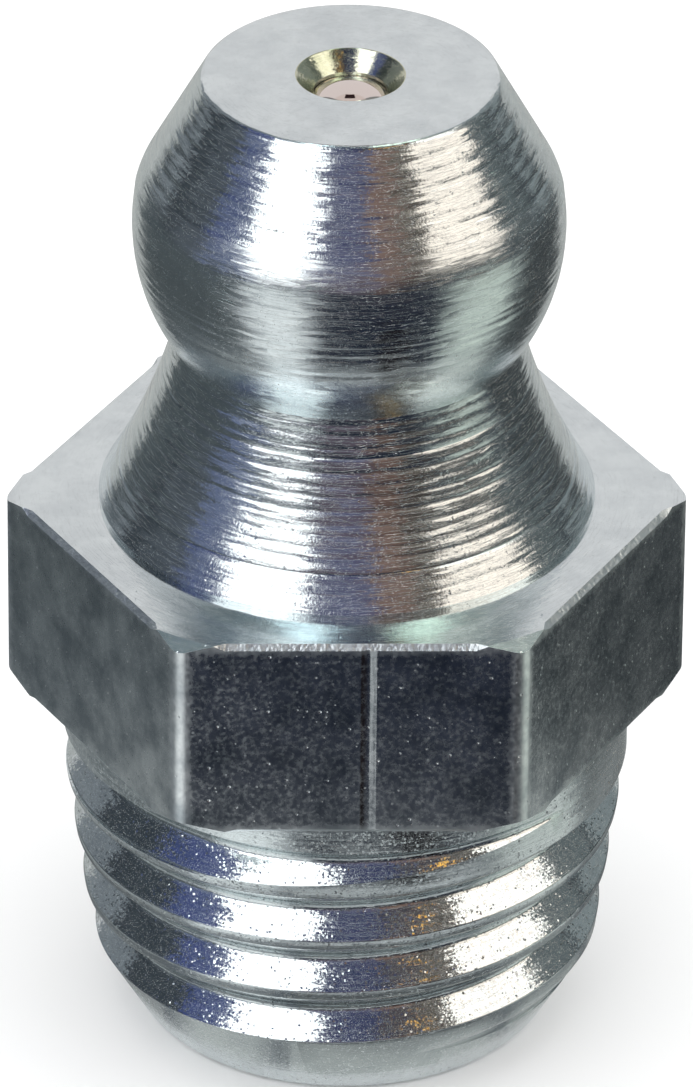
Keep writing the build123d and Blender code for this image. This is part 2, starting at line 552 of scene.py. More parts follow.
# %% The section of the groove
pitch, thread_depth, thread_half_angle = 1.0, 0.4, 42.0
root_radius, crest_rounding = 0.135, 0.05
crest_half_gap = 0.42
crest_exit = ((0.004, 0.02), (0.1, 0.03))  # steps out of the metal, beyond the rounded crest
thread_first_z, thread_last_z, thread_start_azimuth = 0.76, 4.96, 260.0
entry_turns, runout_turns, overrun = 0.75, 0.28, 0.12


def groove_section():
    """Half of the V, as (distance out from the root, distance along the axis)."""
    slope = slope_of(thread_half_angle)
    root = arc_points((root_radius, 0), root_radius, 180, 180 - 90 + thread_half_angle, 4)
    crest = rounded_corner(
        (0, crest_half_gap - thread_depth * slope), (thread_depth, crest_half_gap),
        (thread_depth, crest_half_gap + 1), crest_rounding,
    )
    rim = [(thread_depth + out, crest[-2].y + along) for out, along in crest_exit]
    return [Vector(point) for point in root + crest[:-1] + rim]


half = groove_section()
print("half of the groove's section:", len(half), "points")

# %% [markdown]
# ## How deep the cutter stands
#
# Like the real tool, the cutter starts outside the metal, sinks in, follows the taper, and is drawn
# out again under the hexagon. One function gives its distance from the axis at any moment.

# %% How deep the cutter stands
groove_turns = (thread_last_z - thread_first_z) / pitch


def root_radius_at(turn):
    """Distance from the axis to the root of the groove, after some turns of the work."""
    z = thread_first_z + pitch * turn
    crest = crest_radius(z)
    surface = min(crest, foot_d / 2 + z * slope_of(foot_chamfer_angle))
    clear = surface + overrun / 2
    entry = min(1.0, turn / entry_turns)
    runout = min(1.0, (groove_turns - turn) / runout_turns)
    return clear + (crest - thread_depth - clear) * entry * (2 - entry) * runout


print(f"root radius halfway up: {root_radius_at(groove_turns / 2):.2f} mm")

# %% [markdown]
# ## Winding the cutter
#
# The cutter is the section of the groove, spun a small step at a time and lifted by its share of the
# pitch. A mesh built this way has clean strips, which a modifier that screws and a Boolean on top of
# it would not give.

# %% Winding the cutter
steps_per_turn = 128


def thread_cutter():
    """The section of the groove wound up the shank as a closed solid."""
    outline = half + [Vector((out, -along)) for out, along in reversed(half[1:])]
    cutter = bmesh.new()
    start = root_radius_at(0)
    lean = slope_of(taper_angle)
    ring = []
    for out, along in outline:
        ring.append(cutter.verts.new((start + out + along * lean, 0, thread_first_z + along)))
    face = cutter.faces.new(ring)
    bmesh.ops.rotate(
        cutter, verts=ring, matrix=Matrix.Rotation(math.radians(thread_start_azimuth), 3, "Z"),
    )
    geometry = [face, *face.edges, *face.verts]
    steps = round(groove_turns * steps_per_turn)
    turn_step = groove_turns / steps
    for step in range(steps):
        result = bmesh.ops.spin(
            cutter, geom=geometry, cent=(0, 0, 0), axis=(0, 0, 1), angle=2 * math.pi * turn_step,
            steps=1, dvec=(0, 0, pitch * turn_step),
        )
        geometry = result["geom_last"]
        azimuth = math.radians(thread_start_azimuth) + 2 * math.pi * turn_step * (step + 1)
        move = root_radius_at(turn_step * (step + 1)) - root_radius_at(turn_step * step)
        verts = [item for item in geometry if isinstance(item, bmesh.types.BMVert)]
        direction = Vector((math.cos(azimuth), math.sin(azimuth), 0))
        bmesh.ops.translate(cutter, vec=direction * move, verts=verts)
    bmesh.ops.recalc_face_normals(cutter, faces=cutter.faces)
    for face in cutter.faces:
        face.material_index = FINISHES.index("flank")
        face.smooth = True
    return cutter


cutter = make_object("thread_cutter", thread_cutter(), scale=1)
print("cutter:", len(cutter.data.polygons), "faces")

# %% [markdown]
# ## Cutting the thread
#
# A Boolean takes the groove out of the blank. The exact solver keeps every face of the two meshes
# that is left, with its finish, so the flanks stay the clean spun strips of the cutter.

# %% Cutting the thread
def subtract(target, tool):
    """Cuts one closed object out of another for good, and removes the tool."""
    cut = target.modifiers.new("cut", "BOOLEAN")
    cut.operation = "DIFFERENCE"
    cut.solver = "EXACT"
    cut.object = tool
    evaluated = target.evaluated_get(bpy.context.evaluated_depsgraph_get())
    result = bpy.data.meshes.new_from_object(evaluated)
    target.modifiers.clear()
    target.data = result
    bpy.data.objects.remove(tool)


finishes = {name: bpy.data.materials.new(f"bright_zinc_{name}") for name in FINISHES}
for shape in (blank, cutter):
    for name in FINISHES:
        shape.data.materials.append(finishes[name])
subtract(blank, cutter)
threaded = bmesh.new()
threaded.from_mesh(blank.data)
bpy.data.objects.remove(blank)
bmesh.ops.remove_doubles(threaded, verts=threaded.verts, dist=near)
open_edges = sum(not edge.is_manifold for edge in threaded.edges)
triangles = sum(len(face.verts) - 2 for face in threaded.faces)
print("threaded body:", triangles, "triangles, open edges:", open_edges)
print(f"volume {threaded.calc_volume():.1f} cubic millimetres")

# %% [markdown]
# ## The finished body
#
# The body gets its object, rides on the housing of the frame and takes the place of the CAD node.
# A modifier weights the normals by area, so that large flat faces stay flat up to their edges.

# %% The finished body
nipple_body = make_object("turned_nipple_body", threaded)
for name in FINISHES:
    nipple_body.data.materials.append(finishes[name])
shading = nipple_body.modifiers.new("flat faces stay flat", "WEIGHTED_NORMAL")
shading.keep_sharp = True
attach(nipple_body, "housing")
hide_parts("nipple_body")
print("body:", [round(d / MM, 2) for d in nipple_body.dimensions], "mm")

# %% [markdown]
# ## The check ball
#
# A hard, polished bearing ball closes the inlet from inside. An icosphere has no poles, so its
# highlights stay round wherever it is seen from. Its place comes from the frame's own ball.

# %% The check ball
ball_mesh = bmesh.new()
bmesh.ops.create_icosphere(
    ball_mesh, subdivisions=5, radius=ball_r, matrix=Matrix.Translation((0, 0, ball_z)),
)
for face in ball_mesh.faces:
    face.smooth = True
check_ball = make_object("polished_check_ball", ball_mesh)
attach(check_ball, "check_valve")
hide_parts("check_ball")
print("ball:", round(check_ball.dimensions.x / MM, 2), "mm across")

# %% [markdown]
# ## Winding the spring
#
# The spring is drawn wire wound round a mandrel, with one closed turn at each end. The wire's
# round section is spun in short steps and lifted a little at each: by less in the closed turns and
# by more in the open ones.

# %% Winding the spring
wire_d, coil_d, closed_gap, open_turns = 0.25, 1.6, 0.02, 12
spring_low, spring_high = (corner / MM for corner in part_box("valve_spring"))
spring_steps_per_turn = 32


def spring_mesh():
    """The wire's section spun up the coil, closed at both ends of the wire."""
    bottom_z = spring_low.z + wire_d / 2
    height = spring_high.z - spring_low.z - wire_d
    closed_rise = wire_d + closed_gap
    open_rise = (height - 2 * closed_rise) / open_turns
    made = bmesh.new()
    upright = Matrix.Rotation(math.radians(90), 4, "X")
    bmesh.ops.create_circle(
        made, cap_ends=True, radius=wire_d / 2, segments=16,
        matrix=Matrix.Translation((coil_d / 2, 0, bottom_z)) @ upright,
    )
    geometry = made.verts[:] + made.edges[:] + made.faces[:]
    for rise in [closed_rise] + [open_rise] * open_turns + [closed_rise]:
        result = bmesh.ops.spin(
            made, geom=geometry, cent=(0, 0, 0), axis=(0, 0, 1), angle=2 * math.pi,
            steps=spring_steps_per_turn, dvec=(0, 0, rise / spring_steps_per_turn),
        )
        geometry = result["geom_last"]
    bmesh.ops.recalc_face_normals(made, faces=made.faces)
    for face in made.faces:
        face.smooth = True
    return made


print("turns of the spring:", open_turns + 2)

# %% [markdown]
# ## The spring in its place
#
# The spring stands on the rolled lip and presses the ball up. It rides on the housing, with its own mesh.

# %% The spring in its place
valve_spring = make_object("wound_valve_spring", spring_mesh())
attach(valve_spring, "housing")
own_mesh(valve_spring)
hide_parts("valve_spring")
print("spring:", round(valve_spring.dimensions.z / MM, 2), "mm long")

# %% [markdown]
# ## Colours and nodes
#
# Colours are written as hex values, as a paint chart gives them, and turned to the linear values
# that the renderer works in. One function adds a node with its settings and its links.

# %% Colours and nodes
def linear(hex_colour):
    """A colour such as "#C8CDD2" as linear red, green, blue and alpha."""
    values = [int(hex_colour[i : i + 2], 16) / 255 for i in (1, 3, 5)]
    return [v / 12.92 if v <= 0.04045 else ((v + 0.055) / 1.055) ** 2.4 for v in values] + [1.0]


def add_node(tree, kind, settings=None, **inputs):
    """A node with its settings; an input is a value, or another node's socket to link from."""
    made = tree.nodes.new(kind)
    for name, value in (settings or {}).items():
        setattr(made, name, value)
    for name, value in inputs.items():
        socket = made.inputs[int(name[1:])] if name[1:].isdigit() else made.inputs[name.replace("_", " ")]
        if isinstance(value, bpy.types.NodeSocket):
            tree.links.new(value, socket)
        else:
            socket.default_value = value
    return made


print("mid grey is", [round(v, 3) for v in linear("#808080")])

# %% [markdown]
# ## Zinc plating
#
# The common name of the finish is bright zinc plating, clear passivated. The steel parts tumble in a
# barrel in a zinc bath until they carry a few thousandths of a millimetre of metal, and a dip in a
# passivating bath then leaves a film that turns the grey slightly blue. Zinc hides nothing: tool
# marks, drawing streaks and pits all show through it. So every finish of the body is the same
# metal, with its own roughness and its own mix of heights for a bump. A bump is enough for marks
# of this size. It could be a mesh as well, but that would take millions of faces.

# %% The point in millimetres
def millimetres(tree):
    """The point on the surface, in millimetres."""
    place = add_node(tree, "ShaderNodeTexCoord")
    return add_node(
        tree, "ShaderNodeMapping", Vector=place.outputs["Object"], Scale=(1 / MM, 1 / MM, 1 / MM),
    ).outputs["Vector"]


print("one millimetre is", MM, "in the object's coordinates")

# %% [markdown]
# ## Lines and streaks
#
# A lathe tool leaves rings, and a drawing die leaves lengthwise streaks. Both are noise that changes
# fast in one direction and slowly in the other. The rings read the height and the distance from the
# axis, and turn with the azimuth only slowly, so that they are long arcs and not dots.

# %% Lines and streaks
ring_drift = 3  # how far a ring's noise moves for each turn of one radian
streak_squash = 0.08  # how much slower a streak changes along the bar than across it


def turning_lines(tree, point, spacing):
    """Noise that is drawn out into rings about the axis."""
    flat = add_node(tree, "ShaderNodeVectorMath", {"operation": "MULTIPLY"}, i0=point, i1=(1, 1, 0))
    radius = add_node(tree, "ShaderNodeVectorMath", {"operation": "LENGTH"}, i0=flat.outputs[0])
    around = add_node(tree, "ShaderNodeVectorMath", {"operation": "NORMALIZE"}, i0=flat.outputs[0])
    height = add_node(
        tree, "ShaderNodeVectorMath", {"operation": "MULTIPLY"}, i0=point, i1=(0, 0, 1 / spacing),
    )
    slow = add_node(
        tree, "ShaderNodeVectorMath", {"operation": "MULTIPLY_ADD"},
        i0=around.outputs[0], i1=(ring_drift, ring_drift, 0), i2=height.outputs[0],
    )
    reach = add_node(
        tree, "ShaderNodeMath", {"operation": "DIVIDE"}, i0=radius.outputs["Value"], i1=spacing,
    )
    return add_node(
        tree, "ShaderNodeTexNoise", {"noise_dimensions": "4D"},
        Vector=slow.outputs[0], W=reach.outputs[0], Scale=1.0, Detail=3.0, Roughness=0.65,
    ).outputs["Fac"]


def drawing_streaks(tree, point, spacing):
    """Noise drawn out along the bar, for the flats of the hexagon."""
    stretched = add_node(tree, "ShaderNodeMapping", Vector=point, Scale=(1, 1, streak_squash))
    return add_node(
        tree, "ShaderNodeTexNoise", Vector=stretched.outputs[0], Scale=1 / spacing, Detail=3.0,
    ).outputs["Fac"]


print("a streak is", round(1 / streak_squash), "times longer than wide")

# %% [markdown]
# ## Grain and facets
#
# Plating grows as crystals. Most lie flat and only soften a reflection, which smooth noise does well.
# Some catch the light, and for those the surface is broken into small flat facets, each tilted its
# own way: every cell of a Voronoi pattern has a chance colour, which serves as its slope.

# %% Grain and facets
def grain(tree, point, size):
    """Small soft lumps with no direction, from the grains of the plating."""
    return add_node(tree, "ShaderNodeTexNoise", Vector=point, Scale=1 / size, Detail=2.0).outputs["Fac"]


def facets(tree, place, sizes):
    """A height field of small flat facets, each tilted its own way; a place has one per unit."""
    cells = add_node(tree, "ShaderNodeTexVoronoi", Vector=place, Scale=1.0)
    inside = add_node(
        tree, "ShaderNodeVectorMath", {"operation": "SUBTRACT"}, i0=place, i1=cells.outputs["Position"],
    )
    lean = add_node(
        tree, "ShaderNodeVectorMath", {"operation": "MULTIPLY_ADD"},
        i0=cells.outputs["Color"], i1=sizes, i2=[-size / 2 for size in sizes],
    )
    return add_node(
        tree, "ShaderNodeVectorMath", {"operation": "DOT_PRODUCT"},
        i0=inside.outputs[0], i1=lean.outputs[0],
    ).outputs["Value"], cells.outputs["Color"]


print(f"facets of strength 0.1 lean by up to {math.degrees(math.atan(0.1 / 2)):.1f} degrees")

# %% [markdown]
# ## Crystals that sparkle
#
# Real zinc crystals are finer than a hundredth of a millimetre. They are drawn a few times coarser
# here, as they would be too fine to show. A few tilt much more than the rest, and those sparkle.

# %% Crystals that sparkle
rarity, rare_gain = 14, 9.0  # how rare such a crystal is, and how much more it tilts


def crystals(tree, point, size):
    """Facets of the plating, a few of them tilted much more than the rest."""
    place = add_node(
        tree, "ShaderNodeVectorMath", {"operation": "SCALE"}, Vector=point, Scale=1 / size,
    )
    height, chance = facets(tree, place.outputs[0], (size, size, size))
    blue = add_node(tree, "ShaderNodeSeparateColor", Color=chance).outputs["Blue"]
    rare = add_node(tree, "ShaderNodeMath", {"operation": "POWER"}, i0=blue, i1=rarity)
    gain = add_node(
        tree, "ShaderNodeMath", {"operation": "MULTIPLY_ADD"}, i0=rare.outputs[0], i1=rare_gain, i2=1.0,
    )
    return add_node(
        tree, "ShaderNodeMath", {"operation": "MULTIPLY"}, i0=height, i1=gain.outputs[0],
    ).outputs[0]


print(f"one crystal in {1 / (1 - 0.5 ** (1 / rarity)):.0f} tilts more than {1 + rare_gain / 2} times as much")

# %% [markdown]
# ## Torn strips
#
# Where a tool tears the metal, the facets are short strips round the axis. The place of a strip is
# its angle round the axis, and its height less its distance from the axis. That difference changes
# on level faces as well as on upright ones, so both have strips.

# %% Torn strips
strip_length, strip_radius = 0.4, 3.0


def torn_strips(tree, point, width):
    """Short strips round the axis, where a tool tears the metal; each leans its own way."""
    parts = add_node(tree, "ShaderNodeSeparateXYZ", Vector=point)
    front = add_node(tree, "ShaderNodeMath", {"operation": "MULTIPLY"}, i0=parts.outputs["Y"], i1=-1.0)
    angle = add_node(
        tree, "ShaderNodeMath", {"operation": "ARCTAN2"}, i0=parts.outputs["X"], i1=front.outputs[0],
    )
    flat = add_node(tree, "ShaderNodeVectorMath", {"operation": "MULTIPLY"}, i0=point, i1=(1, 1, 0))
    radius = add_node(tree, "ShaderNodeVectorMath", {"operation": "LENGTH"}, i0=flat.outputs[0])
    along = add_node(
        tree, "ShaderNodeMath", {"operation": "SUBTRACT"},
        i0=parts.outputs["Z"], i1=radius.outputs["Value"],
    )
    strip = add_node(tree, "ShaderNodeCombineXYZ", X=angle.outputs[0], Y=along.outputs[0])
    place = add_node(
        tree, "ShaderNodeVectorMath", {"operation": "MULTIPLY"},
        i0=strip.outputs[0], i1=(strip_radius / strip_length, 1 / width, 0),
    )
    return facets(tree, place.outputs[0], (strip_length, width, 0))[0]


print(f"torn strips are {strip_length} mm long on a radius of {strip_radius} mm")

# %% [markdown]
# ## Pits
#
# Pits are rounded hollows at chance places, of chance sizes. The distance to the middle of a Voronoi
# cell is the distance to a pit, and dividing it by the cell's chance makes some pits small.

# %% Pits
pit_spacing = 5  # distance between pits, in radii of the largest
pit_floor = 0.2  # the flat floor of a pit, as a share of its radius


def pits(tree, point, radius):
    """Pits of chance sizes up to a radius, as a depth from 0 down to minus 1."""
    cells = add_node(tree, "ShaderNodeTexVoronoi", Vector=point, Scale=1 / (pit_spacing * radius))
    chance = add_node(tree, "ShaderNodeSeparateColor", Color=cells.outputs["Color"])
    reach = add_node(
        tree, "ShaderNodeMath", {"operation": "DIVIDE"},
        i0=cells.outputs["Distance"], i1=chance.outputs["Red"],
    )
    return add_node(
        tree, "ShaderNodeMapRange", {"interpolation_type": "SMOOTHSTEP"},
        Value=reach.outputs[0], i1=pit_floor / pit_spacing, i2=1 / pit_spacing, i3=-1.0, i4=0.0,
    ).outputs[0]


print("pits of 0.03 mm are about", round(pit_spacing * 0.03, 2), "mm apart")

# %% [markdown]
# ## Haze
#
# Plating is not equally bright all over: it has a fine mottled haze with small dull specks. It is
# given as a share from 0 to 1, which the material turns into a roughness.

# %% Haze
mottle_size, speck_spacing = 0.08, 0.13
mottle_levels, mottle_share = (0.42, 0.8), 0.8
speck_levels = (0.08, 0.24)


def haze(tree, point):
    """Where the plating is dull, from 0 to 1: a mottled haze with small dull specks in it."""
    cloud = add_node(
        tree, "ShaderNodeTexNoise", Vector=point, Scale=1 / mottle_size, Detail=5.0, Roughness=0.7,
    )
    mottle = add_node(
        tree, "ShaderNodeMapRange", Value=cloud.outputs["Fac"],
        i1=mottle_levels[0], i2=mottle_levels[1], i3=0.0, i4=mottle_share,
    )
    cells = add_node(tree, "ShaderNodeTexVoronoi", Vector=point, Scale=1 / speck_spacing)
    chance = add_node(tree, "ShaderNodeSeparateColor", Color=cells.outputs["Color"])
    reach = add_node(
        tree, "ShaderNodeMath", {"operation": "DIVIDE"},
        i0=cells.outputs["Distance"], i1=chance.outputs["Red"],
    )
    speck = add_node(
        tree, "ShaderNodeMapRange", Value=reach.outputs[0],
        i1=speck_levels[0], i2=speck_levels[1], i3=1.0, i4=0.0,
    )
    return add_node(
        tree, "ShaderNodeMath", {"operation": "MAXIMUM"}, i0=mottle.outputs[0], i1=speck.outputs[0],
    ).outputs[0]


print("the haze has specks about", speck_spacing, "mm apart")

# %% [markdown]
# ## Worn corners
#
# The corners and rims of the hexagon are dull where parts knock against each other in the barrel.
# This is a share from 0 to 1 as well, and is added to the haze.

# %% Worn corners
worn_radii = (5.06, 5.13)  # the corners of the hexagon, measured from the axis
worn_heights = (1.42, 1.62)  # its rims, measured from the middle of its height
worn_share = 0.6


def worn(tree, point):
    """Where a flat of the hexagon is worn, from 0 to 1: near its corners and its two rims."""
    parts = add_node(tree, "ShaderNodeSeparateXYZ", Vector=point)
    flat = add_node(tree, "ShaderNodeVectorMath", {"operation": "MULTIPLY"}, i0=point, i1=(1, 1, 0))
    radius = add_node(tree, "ShaderNodeVectorMath", {"operation": "LENGTH"}, i0=flat.outputs[0])
    middle = (hexagon_bottom_z + hexagon_top_z) / 2
    off = add_node(tree, "ShaderNodeMath", {"operation": "SUBTRACT"}, i0=parts.outputs["Z"], i1=middle)
    height = add_node(tree, "ShaderNodeMath", {"operation": "ABSOLUTE"}, i0=off.outputs[0])
    corner = add_node(
        tree, "ShaderNodeMapRange", {"interpolation_type": "SMOOTHSTEP"},
        Value=radius.outputs["Value"], i1=worn_radii[0], i2=worn_radii[1],
    )
    rim = add_node(
        tree, "ShaderNodeMapRange", {"interpolation_type": "SMOOTHSTEP"},
        Value=height.outputs[0], i1=worn_heights[0], i2=worn_heights[1],
    )
    return add_node(
        tree, "ShaderNodeMath", {"operation": "MAXIMUM"}, i0=corner.outputs[0], i1=rim.outputs[0],
    ).outputs[0]


print("the flats are worn from", worn_radii[0], "mm off the axis")

# %% [markdown]
# ## A zinc material
#
# One function builds the material of a finish. Each pattern has a strength and a size in
# millimetres, and all are added up for one bump. The strength is a height in millimetres, except
# for crystals and strips, where it is the spread of their slopes. The colour drifts a little between
# two shades of zinc, because the passivated film is not equally thick everywhere. A metal keeps its
# default index of refraction: its colour is all that is set.

# %% A zinc material
cloud_size = 0.7
cloud_levels = (0.35, 0.65)
PATTERNS = {
    "lines": turning_lines,
    "streaks": drawing_streaks,
    "grain": grain,
    "crystals": crystals,
    "strips": torn_strips,
    "pits": pits,
}


def zinc(name, bright, dull, shades=("#E2E9EA", "#D4DBDD"), edges=False, **heights):
    """One finish of the plated body. Each height is a pattern's strength and its size."""
    material = finishes[name]
    material.use_nodes = True
    tree = material.node_tree
    tree.nodes.clear()
    point = millimetres(tree)
    total = 0.0
    for pattern, (height, size) in heights.items():
        total = add_node(
            tree, "ShaderNodeMath", {"operation": "MULTIPLY_ADD"},
            i0=PATTERNS[pattern](tree, point, size), i1=height, i2=total,
        ).outputs[0]
    bump = add_node(tree, "ShaderNodeBump", Height=total, Distance=MM, Strength=1.0)
    cloud = add_node(
        tree, "ShaderNodeTexNoise", Vector=point, Scale=1 / cloud_size, Detail=4.0, Roughness=0.65,
    )
    tone = add_node(
        tree, "ShaderNodeMapRange", Value=cloud.outputs["Fac"], i1=cloud_levels[0], i2=cloud_levels[1],
    )
    colour = add_node(
        tree, "ShaderNodeMix", {"data_type": "RGBA"},
        i0=tone.outputs[0], i6=linear(shades[0]), i7=linear(shades[1]),
    )
    share = haze(tree, point)
    if edges:
        share = add_node(
            tree, "ShaderNodeMath", {"operation": "MULTIPLY_ADD"},
            i0=worn(tree, point), i1=worn_share, i2=share,
        ).outputs[0]
    roughness = add_node(tree, "ShaderNodeMapRange", Value=share, i3=bright, i4=dull)
    shader = add_node(
        tree, "ShaderNodeBsdfPrincipled", Base_Color=colour.outputs[2], Metallic=1.0,
        Roughness=roughness.outputs[0], Normal=bump.outputs[0],
    )
    add_node(tree, "ShaderNodeOutputMaterial", Surface=shader.outputs[0])


print("patterns for a bump:", ", ".join(PATTERNS))

# %% [markdown]
# ## The finishes of the body
#
# The faces are cut across the work, so they are smooth with a few pits. The cones are turned along
# their length and are torn a little. The ball head is made by a form tool, which chatters and leaves
# it duller. The flats are as drawn, under a cloudy film. The thread is rolled, which burnishes its
# flanks like a mirror and leaves the crests rough. The plating in the bore is thin and yellowish, as
# the current of the bath hardly reaches it. The rims of the hexagon are rubbed dull.

# %% The finishes of the body
zinc("faced", 0.12, 0.26, strips=(0.03, 0.04), grain=(0.001, 0.04), pits=(0.003, 0.03))
zinc("turned", 0.13, 0.26, strips=(0.08, 0.05), grain=(0.002, 0.04), crystals=(0.015, 0.03))
zinc("formed", 0.2, 0.36, strips=(0.1, 0.05), lines=(0.003, 0.07), crystals=(0.008, 0.03))
zinc(
    "drawn", 0.17, 0.5, shades=("#F8FCFC", "#B6BEC2"), edges=True,
    streaks=(0.0016, 0.08), pits=(0.008, 0.03),
)
zinc("crest", 0.18, 0.34, strips=(0.08, 0.05), lines=(0.003, 0.06), crystals=(0.06, 0.03))
zinc("flank", 0.08, 0.2, strips=(0.04, 0.06), crystals=(0.055, 0.028), pits=(0.003, 0.025))
zinc("chamfer", 0.2, 0.36, strips=(0.06, 0.05), lines=(0.006, 0.05), crystals=(0.06, 0.03))
zinc("bore", 0.12, 0.24, lines=(0.006, 0.04), crystals=(0.03, 0.03), shades=("#DCDCC8", "#BCC0A6"))
zinc("rim", 0.35, 0.55, grain=(0.018, 0.08))
print("finishes of the zinc:", len(FINISHES))

# %% [markdown]
# ## Ball and spring steel
#
# The check ball is a bearing ball of chrome steel, lapped between iron plates until it is a mirror.
# The spring is hard-drawn carbon spring wire, bright from the die. Neither is plated. One function
# serves both, as they differ in colour and roughness only.

# %% Ball and spring steel
steel_grain, steel_scatter = 0.05, 0.3


def plain_steel(name, colour, roughness):
    """Bare steel with a roughness that varies a little from place to place."""
    material = bpy.data.materials.new(name)
    material.use_nodes = True
    tree = material.node_tree
    tree.nodes.clear()
    point = millimetres(tree)
    noise = add_node(tree, "ShaderNodeTexNoise", Vector=point, Scale=1 / steel_grain, Detail=2.0)
    rough = add_node(
        tree, "ShaderNodeMapRange", Value=noise.outputs["Fac"],
        i3=roughness * (1 - steel_scatter), i4=roughness * (1 + steel_scatter),
    )
    shader = add_node(
        tree, "ShaderNodeBsdfPrincipled",
        Base_Color=linear(colour), Metallic=1.0, Roughness=rough.outputs[0],
    )
    add_node(tree, "ShaderNodeOutputMaterial", Surface=shader.outputs[0])
    return material


check_ball.data.materials.append(plain_steel("polished_ball_steel", "#E6DAD4", 0.05))
valve_spring.data.materials.append(plain_steel("drawn_spring_steel", "#B4B4B6", 0.25))
print("materials in all:", len(bpy.data.materials))

# %% [markdown]
# ## The floor
#
# The piece stands on a sheet of matt white paper, wide enough to fill the view. Matt paper is plain
# diffuse white, so a diffuse shader is all it needs, and it takes the soft shadow at the foot.

# %% The floor
scene = bpy.context.scene
scene.view_settings.view_transform = "Standard"
floor_radius = 1000


def stage_material(name, build):
    """A material for the stage, from a function that builds its one shader."""
    material = bpy.data.materials.new(name)
    material.use_nodes = True
    tree = material.node_tree
    tree.nodes.clear()
    add_node(tree, "ShaderNodeOutputMaterial", Surface=build(tree).outputs[0])
    return material


floor_mesh = bmesh.new()
bmesh.ops.create_circle(floor_mesh, cap_ends=True, radius=floor_radius, segments=96)
floor = make_object("floor", floor_mesh)
floor.data.materials.append(stage_material(
    "matt_white_paper", lambda tree: add_node(tree, "ShaderNodeBsdfDiffuse", Color=linear("#FAFAFA")),
))
print("floor:", floor_radius * 2 / 1000, "m across")

# %% [markdown]
# ## The world
#
# The world is the white room round the table. What the camera, a mirror or a glass sees of it is
# plain white. The light that it gives to matt surfaces is a little stronger, which brings the paper
# up to white as well, and leaves the shadow of the piece on it.

# %% The world
world_light = 1.23
world = bpy.data.worlds.new("studio")
scene.world = world
world.use_nodes = True
tree = world.node_tree
tree.nodes.clear()
path = add_node(tree, "ShaderNodeLightPath")
seen = path.outputs["Is Camera Ray"]
for other in ("Is Glossy Ray", "Is Transmission Ray"):
    seen = add_node(
        tree, "ShaderNodeMath", {"operation": "MAXIMUM"}, i0=seen, i1=path.outputs[other],
    ).outputs[0]
strength = add_node(tree, "ShaderNodeMapRange", Value=seen, i3=world_light, i4=1.0)
background = add_node(
    tree, "ShaderNodeBackground", Color=linear("#FFFFFF"), Strength=strength.outputs[0],
)
add_node(tree, "ShaderNodeOutputWorld", Surface=background.outputs[0])
print("the world lights matt surfaces with", world_light)

# %% [markdown]
# ## What a facet mirrors
#
# Bright metal has hardly a look of its own: it shows the room. So such a piece is shown in a tent
# of grey, white and coloured cards. To place a card, start from the facet that has to show it: the
# first function gives a direction, the second the direction in which the camera looks by way of a
# facet that is turned and tilted. The last one lists the stops of a card.

# %% What a facet mirrors
camera_elevation = 31.21
tent_middle = Vector((0, 0, 10))


def direction(azimuth, elevation):
    """A unit vector. Azimuth 0 is towards the camera and grows to its right."""
    a, e = math.radians(azimuth), math.radians(elevation)
    return Vector((math.sin(a) * math.cos(e), -math.cos(a) * math.cos(e), math.sin(e)))


def mirrored(turn, tilt):
    """Where the camera looks by way of a facet that is turned from it and tilted up."""
    facet, to_camera = direction(turn, tilt), direction(0, camera_elevation)
    return 2 * facet.dot(to_camera) * facet - to_camera


def dome(distance):
    """Spots on a sphere about the middle of the piece, by azimuth and elevation."""
    return lambda azimuth, elevation: direction(azimuth, elevation) * distance + tent_middle


def tent(distance):
    """Spots on such a sphere, by the turn and tilt of the facet that mirrors them."""
    return lambda turn, tilt: mirrored(turn, tilt) * distance + tent_middle


def every(step, start, end):
    """Stops from a start to an end."""
    return [start + step * count for count in range(round((end - start) / step) + 1)]


print("an upright facet mirrors", [round(v, 2) for v in mirrored(0, 0)])

# %% [markdown]
# ## A card
#
# A card is a thin sheet that mirror-like rays see and nothing else does, so that it shows in the
# metal and leaves the light in the room alone. A real card would shade the table as well. It starts
# as a flat grid, and each point then moves to its spot and carries its own colour.

# %% A card
card_step = 4  # degrees from one point to the next
fade = 3.5  # how fast a card fades to its ends
card_paint = stage_material("card_paint", lambda tree: add_node(
    tree, "ShaderNodeEmission",
    Color=add_node(tree, "ShaderNodeAttribute", {"attribute_name": "paint"}).outputs["Color"],
    Strength=1.0,
))


def card(name, spot, across, up, colours, strength=1.0, ends=None):
    """A sheet with a colour for each stop up it. With a colour for its ends, it fades to that."""
    made = bmesh.new()
    paint = made.verts.layers.float_color.new("paint")
    steps = max(2, round(abs(across[1] - across[0]) / card_step))
    bmesh.ops.create_grid(made, x_segments=steps, y_segments=len(up) - 1, size=0.5)
    for point in made.verts:
        row = round((point.co.y + 0.5) * (len(up) - 1))
        first = across[0] + (across[1] - across[0]) * (point.co.x + 0.5)
        inner = Vector(linear(colours[min(row, len(colours) - 1)]))
        share = min(1.0, fade * (0.5 - abs(point.co.x))) if ends else 1.0
        point[paint] = Vector(linear(ends or "#000000")).lerp(inner, share) * strength
        point.co = spot(first, up[row])
    shape = make_object(name, made)
    shape.data.materials.append(card_paint)
    shape.visible_camera = False
    shape.visible_diffuse = False
    shape.visible_transmission = False
    shape.visible_shadow = False


card("dark_tent", dome(300), (-180, 180), every(6, -2, 88), ["#3A3F45"])
card("back_wall", dome(285), (142, 218), every(6, -2, 58), ["#E5E3E4"])
card("left_rear_card", dome(288), (-142, -117), every(6, -2, 58), ["#7C8288"])
card("right_rear_card", dome(288), (117, 142), every(6, -2, 58), ["#889092"])

